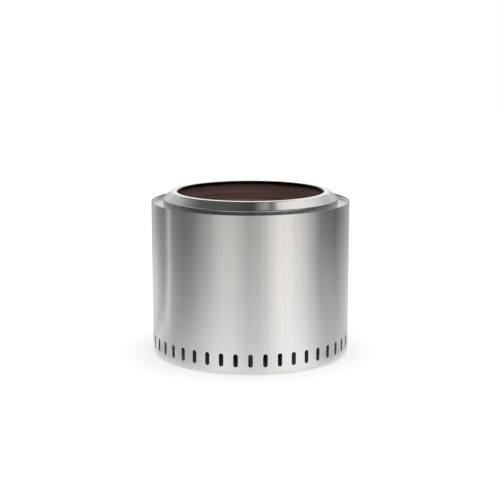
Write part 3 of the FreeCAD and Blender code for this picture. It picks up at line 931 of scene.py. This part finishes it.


# %% [markdown]
# Some places on a piece look different from the rest, such as a weld seam, and some carry
# painted shade, such as the rim's fold and the ring's lip. Each is a second colour laid over the
# first, where a mask made from the place says. A mask is a number that is 1 on such a place and
# 0 away from it.

# %% Seams and edges
SEAM_TURN = QUARTER_TURN + math.pi / SLOT_COUNT


def tint(finish, mask, colour):
    """Lays a colour over a finish where the mask says."""
    tree = finish.node_tree
    base = tree.nodes["Principled BSDF"].inputs["Base Color"]
    connect(tree, base, mix_shades(tree, mask, base.links[0].from_socket, colour))


def weld_seam(tree, half_width):
    """The upright line where a rolled sheet's ends meet: 1 on the line, 0 beside it."""
    along = (math.cos(SEAM_TURN), math.sin(SEAM_TURN), 0)
    sideways = (-along[1], along[0], 0)
    place = object_place(tree)
    behind, aside = [add(tree, "ShaderNodeVectorMath", {0: place, 1: way},
                         operation="DOT_PRODUCT").outputs["Value"] for way in (along, sideways)]
    line = share_between(tree, calculate(tree, "ABSOLUTE", aside), half_width / 2, half_width, 1, 0)
    return calculate(tree, "MULTIPLY", line, calculate(tree, "GREATER_THAN", behind, 0.0))


def along_edge(tree, heights, reaches):
    """A round edge: grows to 1 over a span of heights and a span of distances from the axis."""
    height = share_between(tree, height_above_ground(tree), *heights, 0, 1)
    reach = share_between(tree, distance_from_axis(tree), *reaches, 0, 1)
    return calculate(tree, "MULTIPLY", height, reach)


# %% [markdown]
# The drum's rolled sheet has one upright weld seam, a grey line in a straw-coloured band, which
# is turned to the back. The fold along the rim is darker than the wall, as painted shade on its
# top and its inner side.

# %% The brushed drum
SEAM_HALF_WIDTH = 1.2 * MM
SEAM_GREY = (0.42, 0.41, 0.40, 1)
SEAM_TINT_HALF_WIDTH = 7 * MM
SEAM_TINT_SHARE = 0.5
SEAM_STRAW = (0.60, 0.50, 0.36, 1)
FOLD_START = 9 * MM
FOLD_FULL = 0.1 * MM
FOLD_REACH = 0.5 * MM
FOLD_SHADE = (0.20, 0.196, 0.19, 1)

brushed_wall = turned_steel("brushed_wall_steel", dark=(0.775, 0.758, 0.738),
                            light=(0.835, 0.818, 0.798), rough=0.27, smear=0.94, bump=0.02)
wall_tree = brushed_wall.node_tree
seam_tint = weld_seam(wall_tree, SEAM_TINT_HALF_WIDTH)
tint(brushed_wall, calculate(wall_tree, "MULTIPLY", seam_tint, SEAM_TINT_SHARE), SEAM_STRAW)
tint(brushed_wall, weld_seam(wall_tree, SEAM_HALF_WIDTH), SEAM_GREY)
# Painted shade: the fold along the rim is darkened on its top and its inner side.
rim_fold_shade = along_edge(wall_tree, (rim_height - FOLD_START, rim_height - FOLD_FULL),
                      (drum_radius - FOLD_FULL, drum_radius - FOLD_REACH))
tint(brushed_wall, rim_fold_shade, FOLD_SHADE)
print(f"The weld seam is {math.degrees(SEAM_TURN):.1f} degrees round from the right-hand side")

# %% [markdown]
# The shelf is pressed sheet, a little darker than the drum and with less smear. The bottom plate
# keeps the dull skin of the mill. Pure metal would be black under the pit, where there is little
# to reflect, so the plate counts as metal only in part.

# %% The shelf and the bottom plate
BASE_METAL_SHARE = 0.3

shelf_steel = turned_steel("pressed_shelf_steel", dark=(0.69, 0.683, 0.672),
                           light=(0.76, 0.753, 0.742), rough=0.26, smear=0.7, bump=0.03)
base_steel = turned_steel("mill_base_steel", dark=(0.64, 0.64, 0.635), light=(0.76, 0.76, 0.75),
                          rough=0.45, smear=0.2, bump=0.08, metallic=BASE_METAL_SHARE)

# %% [markdown]
# The flame ring is spun smoother than the drum is brushed, so its reflections are clearer. Its
# lip is black from where the sheet bends down into the mouth, partly with soot and partly with
# painted shade.

# %% The spun flame ring
LIP_DARK_START = 0.02 * MM
LIP_DARK_FULL = 0.30 * MM
LIP_DARK_REACH = 4.0 * MM
LIP_SOOT_AND_SHADE = (0.016, 0.012, 0.010, 1)

ring_steel = turned_steel("spun_ring_steel", dark=(0.72, 0.713, 0.70), light=(0.84, 0.833, 0.82),
                          rough=0.17, smear=0.5, bump=0.02)
# The lip and its bend are painted near black, partly as soot and partly as painted shade.
lip_end = ring_inner + LIP_DARK_REACH
lip = along_edge(ring_steel.node_tree, (ring_top - LIP_DARK_START, ring_top - LIP_DARK_FULL),
                 (lip_end, lip_end - LIP_DARK_FULL))
tint(ring_steel, lip, LIP_SOOT_AND_SHADE)

# %% [markdown]
# Inside, heat has browned the steel. The lines of the rolled sheet still show through the brown,
# as slightly redder and blacker streaks. Low down the brown lies under ash, and the outer side
# of the sheet, which stays cooler, keeps the straw colour of warm steel.

# %% Steel browned by heat
FIRED_METAL_SHARE = 0.4
FIRED_GRAIN = 210.0
FIRED_SPREAD = 0.2
FIRED_BUMP = 0.15
SCALE_HEIGHT = 0.1 * MM
SOOT = (0.09, 0.064, 0.058)
BROWN = (0.34, 0.215, 0.19)
RED_BROWN = (0.54, 0.34, 0.29)
STRAW_STEEL = (0.66, 0.64, 0.60, 1)
ASH_TOP = 250 * MM
ASH_FULL = 60 * MM
ASH_PATCHES = 9.0
ASH_DETAIL = 5.0
ASH_SPREAD = (0.2, 1.4)
ASH_GREY = (0.20, 0.185, 0.175, 1)


def fired_steel(name, positions, shades, rough, outside):
    """Browned steel with streaks round the axis, ashen low down, and plain on its outer side."""
    finish, tree, shader = new_finish(name, Metallic=FIRED_METAL_SHARE)
    streaks = turned_grain(tree, FIRED_GRAIN)
    browned = shade_between(tree, streaks, positions, shades)
    low_down = share_between(tree, height_above_ground(tree), ASH_TOP, ASH_FULL, 0, 1)
    patches = noise_at(tree, object_place(tree), ASH_PATCHES, ASH_DETAIL)
    ash = calculate(tree, "MULTIPLY", low_down, spread_to(tree, patches, *ASH_SPREAD))
    ashen = mix_shades(tree, ash, browned, ASH_GREY)
    is_outside = calculate(tree, "GREATER_THAN", distance_from_axis(tree), outside)
    connect(tree, shader.inputs["Base Color"], mix_shades(tree, is_outside, ashen, STRAW_STEEL))
    roughen(tree, shader, streaks, rough, FIRED_SPREAD)
    raise_ridges(tree, shader, streaks, FIRED_BUMP, SCALE_HEIGHT)
    return finish


chamber_steel = fired_steel("fired_chamber_steel", positions=(0.32, 0.5, 0.68),
                            shades=(SOOT, BROWN, RED_BROWN), rough=0.45,
                            outside=liner_inner + LINER_SHEET / 2)
collar_steel = fired_steel("fired_collar_steel", positions=(0.25, 0.75), shades=(SOOT, BROWN),
                           rough=0.4, outside=collar_outer - COLLAR_SHEET / 2)

# %% [markdown]
# The chamber floor, the grate and the pan carry a matt grey film of ash over dark steel, in soft
# patches. Where the film is thick the steel below no longer shines, so it also takes the metal
# away.

# %% Steel under a film of ash
FILM_PATCHES = 14.0
FILM_DETAIL = 6.0
FILM_ROUGHNESS = 0.6
FILM_SPAN = (0.38, 0.62)
FILM_METAL = (1.0, 0.3)
FILM_SPREAD = 0.3
FILM_BUMP = 0.1


def filmed_steel(name, bare, film, rough=0.5):
    """Dark steel under a soft patchy film of ash."""
    finish, tree, shader = new_finish(name)
    patches = noise_at(tree, object_place(tree), FILM_PATCHES, FILM_DETAIL, FILM_ROUGHNESS)
    connect(tree, shader.inputs["Base Color"],
            shade_between(tree, patches, FILM_SPAN, (bare, film)))
    connect(tree, shader.inputs["Metallic"], spread_to(tree, patches, *FILM_METAL))
    roughen(tree, shader, patches, rough, FILM_SPREAD)
    raise_ridges(tree, shader, turned_grain(tree, COARSE_GRAIN), FILM_BUMP, SCALE_HEIGHT)
    return finish


floor_steel = filmed_steel("filmed_floor_steel", bare=(0.13, 0.12, 0.11), film=(0.24, 0.225, 0.21))
grate_steel = filmed_steel("filmed_grate_steel", bare=(0.10, 0.09, 0.085), film=(0.25, 0.23, 0.215))
pan_steel = filmed_steel("filmed_pan_steel", bare=(0.26, 0.255, 0.25), film=(0.36, 0.35, 0.335))

# %% [markdown]
# The wires, straps and fasteners are plain steel without a grain: drawn wire, cut strap and
# pressed heads, each a little dull and a little uneven.

# %% Plain steel
PLAIN_PATCHES = 180.0
PLAIN_DETAIL = 4.0
PLAIN_SPREAD = 0.25


def plain_steel(name, dark, light, rough):
    """Steel without a grain, a little uneven in shade and shine."""
    finish, tree, shader = new_finish(name, Metallic=1.0)
    patches = noise_at(tree, object_place(tree), PLAIN_PATCHES, PLAIN_DETAIL)
    connect(tree, shader.inputs["Base Color"],
            shade_between(tree, patches, SHADE_SPAN, (dark, light)))
    roughen(tree, shader, patches, rough, PLAIN_SPREAD)
    return finish


wire_steel = plain_steel("drawn_wire_steel", dark=(0.40, 0.395, 0.38), light=(0.50, 0.49, 0.475),
                         rough=0.34)
bracket_steel = plain_steel("strap_steel", dark=(0.38, 0.38, 0.375), light=(0.47, 0.47, 0.46),
                            rough=0.42)
fastener_steel = plain_steel("fastener_steel", dark=(0.46, 0.46, 0.45), light=(0.56, 0.56, 0.55),
                             rough=0.3)

# %% [markdown]
# ## Put the pieces in place of the frame's
#
# Each modelled piece rides on its moving body, takes its finish from a slot of the record, and
# stands for the CAD piece of the same shape. The CAD pieces that stay take their slot's finish.

# %% Dress the frame
FINISHES = {
    "brushed_wall": brushed_wall,
    "shelf_steel": shelf_steel,
    "ring_steel": ring_steel,
    "chamber_steel": chamber_steel,
    "collar_steel": collar_steel,
    "floor_steel": floor_steel,
    "base_steel": base_steel,
    "grate_steel": grate_steel,
    "pan_steel": pan_steel,
    "wire_steel": wire_steel,
    "bracket_steel": bracket_steel,
    "fasteners": fastener_steel,
}
DRESSED = (
    (outer_wall, "drum", "brushed_wall", "outer_wall"),
    (top_shelf, "drum", "shelf_steel", "top_shelf"),
    (chamber_wall, "drum", "chamber_steel", "chamber_wall"),
    (chamber_floor, "drum", "floor_steel", "chamber_floor"),
    (bottom_plate, "drum", "base_steel", "bottom_plate"),
    (flame_ring, "ring", "ring_steel", "flame_ring"),
    (ring_collar, "ring", "collar_steel", "ring_collar"),
    (ash_pan, "pan", "pan_steel", "ash_pan"),
    (fire_grate, "grate", "grate_steel", "fire_grate"),
    (grate_handle, "grate_bail", "wire_steel", "grate_handle"),
    (pan_handle, "pan_bail", "wire_steel", "pan_handle"),
)
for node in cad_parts.values():
    for material_slot in node.material_slots:
        material_slot.material = FINISHES[material_slot.material.name]
for piece, body, slot_name, node_name in DRESSED:
    piece.data.materials.clear()
    piece.data.materials.append(FINISHES[slot_name])
    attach(piece, body)
    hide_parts(node_name)
kept_count = len(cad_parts) - len(DRESSED)
print(f"{len(DRESSED)} pieces are modelled anew and {kept_count} stay as in the CAD")

# %% [markdown]
# ## The stage
#
# The pit stands on a plain pale floor that runs out to white. The photograph shows hardly any
# shadow, so the floor gives off a little light of its own, which fills the shadow in.

# %% Lay the floor
WHITE = (1, 1, 1, 1)
FLOOR_SIZE = 16.0
FLOOR_WHITE = (0.80, 0.80, 0.80, 1)
FLOOR_GLOW = 0.30

bpy.ops.object.select_all(action="DESELECT")
bpy.ops.mesh.primitive_plane_add(size=FLOOR_SIZE)
floor = bpy.context.object
floor.name = "floor"
pale_floor, *_ = new_finish(
    "pale_floor", Base_Color=FLOOR_WHITE, Roughness=1.0, Specular_IOR_Level=0.0,
    Emission_Color=WHITE, Emission_Strength=FLOOR_GLOW,
)
floor.data.materials.append(pale_floor)

# %% [markdown]
# The sky is an even white and gives most of the light. A big soft lamp overhead gives what is
# left of the shadow its direction. The lamp doesn't show in the steel, which has cards to reflect.

# %% Light the sky and the lamp
SKY_LIGHT = 1.0
LAMP_SIZE = 2.0
LAMP_HEIGHT = 2.2
LAMP_POWER = 5.0

world = bpy.data.worlds.new("white_sky")
bpy.context.scene.world = world
world.use_nodes = True
sky = world.node_tree.nodes["Background"]
sky.inputs["Color"].default_value = WHITE
sky.inputs["Strength"].default_value = SKY_LIGHT

bpy.ops.object.light_add(type="AREA", location=(0, 0, LAMP_HEIGHT))
lamp = bpy.context.object
lamp.data.shape = "DISK"
lamp.data.size = LAMP_SIZE
lamp.data.energy = LAMP_POWER
lamp.visible_glossy = False
print(f"A lamp of {LAMP_SIZE} m hangs {LAMP_HEIGHT} m up")

# %% [markdown]
# ## What the steel reflects
#
# Polished steel has hardly any colour of its own: its look is the studio that it reflects. The
# photograph was lit with bright boxes and black screens round the pit, which the drum shows as
# soft upright bands. Here glowing cards do that. They are seen in reflections only, so they
# neither show nor shade the floor.

# %% How a card glows
CARD_PEAK = 1.4


def only_reflected(piece):
    """Hides a card from the camera, diffuse light, shadows and transmission, so it shows in
    reflections only.
    """
    piece.visible_camera = False
    piece.visible_diffuse = False
    piece.visible_shadow = False
    piece.visible_transmission = False


def glow(name, strength):
    """A material that gives off light. Returns it with its tree and its emission node."""
    material = bpy.data.materials.new(name)
    material.use_nodes = True
    tree = material.node_tree
    tree.nodes.remove(tree.nodes["Principled BSDF"])
    emission = add(tree, "ShaderNodeEmission", {"Strength": strength})
    tree.links.new(emission.outputs["Emission"], tree.nodes["Material Output"].inputs["Surface"])
    return material, tree, emission


def grey(brightness):
    """A brightness as a colour, as a share of the card's peak."""
    return [brightness / CARD_PEAK] * 3


def brightness_along(tree, share, start, end, stops):
    """A ramp of (place, brightness) stops from start to end."""
    positions = [(place - start) / (end - start) for place, _ in stops]
    return shade_between(tree, share, positions, [grey(brightness) for _, brightness in stops])


# %% [markdown]
# The first card is an open ring round the pit. It starts flat at the drum's foot, where it stands
# for the floor, and bends up to a wall.

# %% Stand a card round the pit
CARD_INNER_RADIUS = 0.26
CARD_RADIUS = 0.8
CARD_FOOT = 0.002
CARD_HEIGHT = 0.8
CARD_BEND = 0.15

card = blank("surround_card")
card_line = section((CARD_INNER_RADIUS, CARD_FOOT), (CARD_RADIUS, CARD_FOOT),
                    (CARD_RADIUS, CARD_HEIGHT))
turn_line(card, card_line, [CARD_BEND], WIDE_STEPS)
card_look, card_tree, card_glow = glow("surround_card_glow", CARD_PEAK)
card.data.materials.append(card_look)
only_reflected(card)
report(card)

# %% [markdown]
# A ramp says how bright the card's wall is in each direction, in degrees from the front: from the
# back, round by the left, the front and the right to the back again. A little noise on the way
# round gives the bands their fine upright streaks. The wall of the card is a touch warm.

# %% Bright boxes and dark screens
STREAKS_ROUND = 22.0
STREAK_DETAIL = 3.0
STREAK_DEPTH = 0.3
WARM_CARD = (1.02, 1.0, 0.975, 1)
CARD_STOPS = (
    (-180, 1.10), (-150, 0.52), (-128, 0.44), (-118, 0.26), (-109, 0.16), (-98, 0.17),
    (-94, 0.80), (-90, 0.14), (-75, 0.10), (-62, 0.10), (-50, 0.24), (-39, 0.40),
    (-29, 0.59), (-19, 0.65), (-10, 0.52), (0, 0.42), (9, 0.50), (18, 0.71),
    (28, 0.99), (38, 0.97), (49, 0.76), (61, 0.46), (76, 0.11), (92, 0.08),
    (100, 0.05), (109, 0.16), (121, 0.28), (133, 0.37), (150, 0.50), (180, 1.10),
)


def brightness_round(stops):
    """A ramp of (degrees from the front, brightness) stops round the card."""
    return brightness_along(card_tree, turn_share, -180, 180, stops)


card_place = add(card_tree, "ShaderNodeSeparateXYZ", {"Vector": object_place(card_tree)}).outputs
towards_camera = calculate(card_tree, "MULTIPLY", card_place["Y"], -1.0)
way_round = calculate(card_tree, "ARCTAN2", card_place["X"], towards_camera)
turn_share = share_between(card_tree, way_round, -math.pi, math.pi, 0, 1)
streaks = add(card_tree, "ShaderNodeTexNoise",
              {"W": calculate(card_tree, "MULTIPLY", way_round, STREAKS_ROUND), "Scale": 1.0,
               "Detail": STREAK_DETAIL}, noise_dimensions="1D").outputs["Fac"]
streaked = add(card_tree, "ShaderNodeVectorMath",
               {0: brightness_round(CARD_STOPS),
                "Scale": spread_to(card_tree, streaks, 1 - STREAK_DEPTH, 1 + STREAK_DEPTH)},
               operation="SCALE").outputs[0]
warm_card = mix_shades(card_tree, 1.0, streaked, WARM_CARD, "MULTIPLY")
print(len(CARD_STOPS), "stops round the card")

# %% [markdown]
# The drum is seen from above, so it reflects what lies eleven degrees below the level: its lower
# half shows the white floor in front of the card's wall, and the bands fade out there as they do
# in the photograph. At the sides they fade sooner, as if a low pale board stood there, so the
# card has one. Close to the drum's foot the floor is darker at the sides. The floor is a touch
# cool.
#
# How far along the card a point lies is its distance from the axis and its height added up. That
# number grows all the way from the drum's foot, out over the floor and up the wall.

# %% The floor and the low board
COOL_FLOOR = (0.97, 0.985, 1.02, 1)
BLACK = (0, 0, 0, 1)
FLOOR_SPAN = (0.3, 1.1)
FLOOR_SHARE = 0.66
BOARD_RISE = (0.5, 0.8)
BOARD_FALL = (0.86, 0.97)
FOOT_SHADE_SPAN = (0.31, 0.40)
FLOOR_STOPS = (
    (-180, 1.15), (-130, 1.15), (-110, 1.05), (-95, 1.30), (-82, 1.00), (-72, 0.96),
    (-50, 1.20), (-39, 1.29), (-24, 1.27), (0, 1.12), (48, 1.17), (60, 1.14),
    (78, 0.98), (90, 1.12), (110, 1.05), (130, 1.15), (180, 1.15),
)
BOARD_STOPS = (
    (-180, 0.15), (-135, 0.22), (-124, 0.33), (-115, 0.24), (-107, 0.12), (-98, 0.00),
    (-91, 0.17), (-78, 0.06), (-50, 0.02), (36, 0.00), (52, 0.20), (65, 0.24),
    (82, 0.26), (92, 0.17), (107, 0.14), (125, 0.12), (180, 0.15),
)
FOOT_SHADE_STOPS = (
    (-180, 0.12), (-95, 0.14), (-66, 0.20), (-57, 0.14), (-52, 0.26), (-42, 0.31),
    (-35, 0.25), (-28, 0.10), (-20, 0.00), (44, 0.00), (50, 0.30), (56, 0.45),
    (61, 0.48), (67, 0.30), (76, 0.14), (95, 0.12), (180, 0.12),
)

along_card = calculate(card_tree, "ADD", distance_from_axis(card_tree), card_place["Z"])
cool_floor = mix_shades(card_tree, 1.0, brightness_round(FLOOR_STOPS), COOL_FLOOR, "MULTIPLY")
foot_fade = share_between(card_tree, along_card, *FOOT_SHADE_SPAN, CARD_PEAK, 0)
foot_shade = calculate(card_tree, "MULTIPLY", foot_fade, brightness_round(FOOT_SHADE_STOPS))
shaded_floor = mix_shades(card_tree, foot_shade, cool_floor, BLACK)

floor_share = share_between(card_tree, along_card, *FLOOR_SPAN, FLOOR_SHARE, 0)
board = calculate(card_tree, "MULTIPLY",
                  share_between(card_tree, along_card, *BOARD_RISE, 0, 1),
                  share_between(card_tree, along_card, *BOARD_FALL, 1, 0))
board_light = calculate(card_tree, "MULTIPLY", brightness_round(BOARD_STOPS), CARD_PEAK)
white_share = calculate(card_tree, "MULTIPLY_ADD", board, board_light, floor_share)
floor_and_wall = mix_shades(card_tree, white_share, warm_card, shaded_floor)
print("The floor fades out", *FLOOR_SPAN, "m along the card")

# %% [markdown]
# Above its boxes the card stands for the rest of the room, which is the same on both sides: dark
# in front, and bright behind the pit, where the flat ring and the shelf find their light. Higher
# up the back is duller.

# %% The room above
ROOM_SPAN = (0.46, 0.58)
TOP_SPAN = (0.62, 0.72)
ROOM_STOPS = ((80, 0.10), (105, 0.30), (130, 0.60), (150, 0.85), (166, 1.20), (180, 1.40))
TOP_STOPS = ((80, 0.08), (105, 0.30), (130, 0.60), (155, 0.35), (180, 0.30))


def both_sides(stops):
    """Stops from the front round to the back, with their mirror image for the left."""
    return [(-degrees, brightness) for degrees, brightness in reversed(stops)] + list(stops)


in_room = share_between(card_tree, card_place["Z"], *ROOM_SPAN, 0, 1)
at_top = share_between(card_tree, card_place["Z"], *TOP_SPAN, 0, 1)
room_and_top = mix_shades(card_tree, at_top, brightness_round(both_sides(ROOM_STOPS)),
                          brightness_round(both_sides(TOP_STOPS)))
connect(card_tree, card_glow.inputs["Color"],
        mix_shades(card_tree, in_room, floor_and_wall, room_and_top))
print(len(card_tree.nodes), "nodes make the card's glow")

# %% [markdown]
# The second card hangs overhead, because the ring's sloping shoulder looks straight up. Over the
# left and the middle it is a dark screen, and to the right of that a bright box, with a narrow
# grey strip and a thin dark gap between them. It also comes down in front, dark, and the ring's
# skirt reflects that.

# %% Hang a card overhead
OVERHEAD_HEIGHT = 1.6
OVERHEAD_LEFT = -1.8
OVERHEAD_RIGHT = 1.8
OVERHEAD_FRONT = -1.9
OVERHEAD_BACK = 1.8
FRONT_SCREEN_FOOT = 0.8
FRONT_DARK_SPAN = (-0.9, -0.5)
FRONT_DARK = 0.06
OVERHEAD_STOPS = (
    (-1.8, 0.56), (-1.5, 0.54), (-1.20, 0.25), (-1.00, 0.11), (-0.75, 0.10), (-0.40, 0.10),
    (0.08, 0.055), (0.14, 0.22), (0.29, 0.42), (0.36, 0.10), (0.42, 0.11), (0.50, 0.90),
    (0.93, 0.98), (1.20, 0.85), (1.55, 0.60), (1.80, 0.60),
)

overhead = blank("overhead_card")
draw_line([
    Vector((OVERHEAD_LEFT, OVERHEAD_BACK, OVERHEAD_HEIGHT)),
    Vector((OVERHEAD_LEFT, OVERHEAD_FRONT, OVERHEAD_HEIGHT)),
    Vector((OVERHEAD_LEFT, OVERHEAD_FRONT, FRONT_SCREEN_FOOT)),
])
bpy.ops.mesh.select_all(action="SELECT")
extrude((OVERHEAD_RIGHT - OVERHEAD_LEFT, 0, 0))
weld(overhead)
overhead_look, overhead_tree, overhead_glow = glow("overhead_card_glow", CARD_PEAK)
overhead_place = add(overhead_tree, "ShaderNodeSeparateXYZ",
                     {"Vector": object_place(overhead_tree)}).outputs
across = (OVERHEAD_LEFT, OVERHEAD_RIGHT)
across_share = share_between(overhead_tree, overhead_place["X"], *across, 0, 1)
overhead_shade = brightness_along(overhead_tree, across_share, *across, OVERHEAD_STOPS)
in_front = share_between(overhead_tree, overhead_place["Y"], *FRONT_DARK_SPAN, 1, 0)
connect(overhead_tree, overhead_glow.inputs["Color"],
        mix_shades(overhead_tree, in_front, overhead_shade, (*grey(FRONT_DARK), 1)))
overhead.data.materials.append(overhead_look)
only_reflected(overhead)
report(overhead)

# %% [markdown]
# ## The camera
#
# The photograph's camera was worked out from the ellipses of the rim, the ring and the base: a
# long lens, almost three metres away, looking down by eleven degrees.

# %% Place the camera
CAMERA_PLACE = (-0.0012, -2.9, 0.80)
CAMERA_TILT = math.radians(79.24)
LENS = 86.1

bpy.ops.object.camera_add(location=CAMERA_PLACE, rotation=(CAMERA_TILT, 0, 0))
camera = bpy.context.object
camera.data.lens = LENS
bpy.context.scene.camera = camera
bpy.context.scene.view_settings.view_transform = "Standard"
print(f"The camera looks down by {90 - math.degrees(CAMERA_TILT):.1f} degrees")
